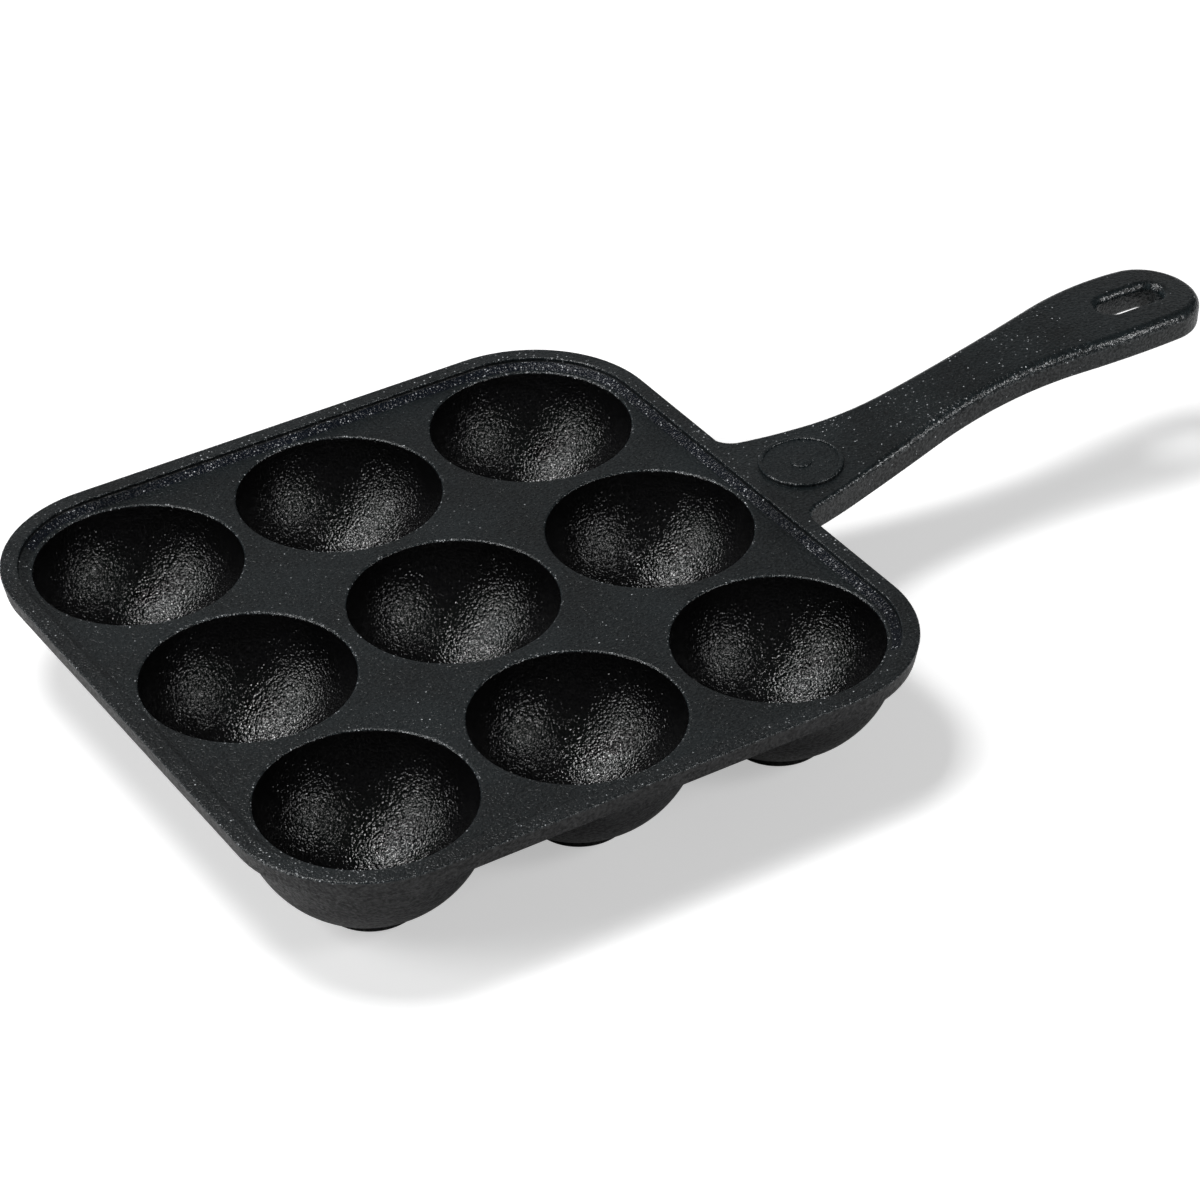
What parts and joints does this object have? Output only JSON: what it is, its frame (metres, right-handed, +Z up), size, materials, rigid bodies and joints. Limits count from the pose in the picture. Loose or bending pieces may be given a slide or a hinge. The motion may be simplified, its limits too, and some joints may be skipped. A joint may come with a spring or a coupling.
{
  "type": "aebleskiver pan",
  "caption": "Square cast-iron pan plate with round hemispherical wells on flat feet, a raised rim and a long flat upswept handle with a hanging slot",
  "frame": {"origin": "middle of the plate, on the plane that the nine feet stand on, at the middle of the centre foot's flat face", "axes": "+Z up out of the wells, +X from the plate's middle along the handle to its tip, +Y to the left of the handle seen from above with the handle pointing away"},
  "size_m": [0.3016, 0.1728, 0.0445],
  "materials": {
    "deck": "black seasoned cast iron, fine sand-cast grain, satin",
    "rim": "black seasoned cast iron, worn sparkling edges",
    "bowl": "black cast iron, coarse sand grain inside and fine grain outside",
    "foot": "black cast iron, flat ground face",
    "handle": "black seasoned cast iron, rounded sparkling edges",
    "medallion": "black seasoned cast iron, low cast relief"
  },
  "bodies": {
    "root": {"deck_plate": "deck", "rim": "rim", "well_1": "bowl", "well_2": "bowl", "well_3": "bowl", "well_4": "bowl", "well_5": "bowl", "well_6": "bowl", "well_7": "bowl", "well_8": "bowl", "well_9": "bowl", "foot_1": "foot", "foot_2": "foot", "foot_3": "foot", "foot_4": "foot", "foot_5": "foot", "foot_6": "foot", "foot_7": "foot", "foot_8": "foot", "foot_9": "foot", "handle_root": "handle", "handle_grip": "handle", "handle_end": "handle", "medallion": "medallion"}
  },
  "joints": []
}
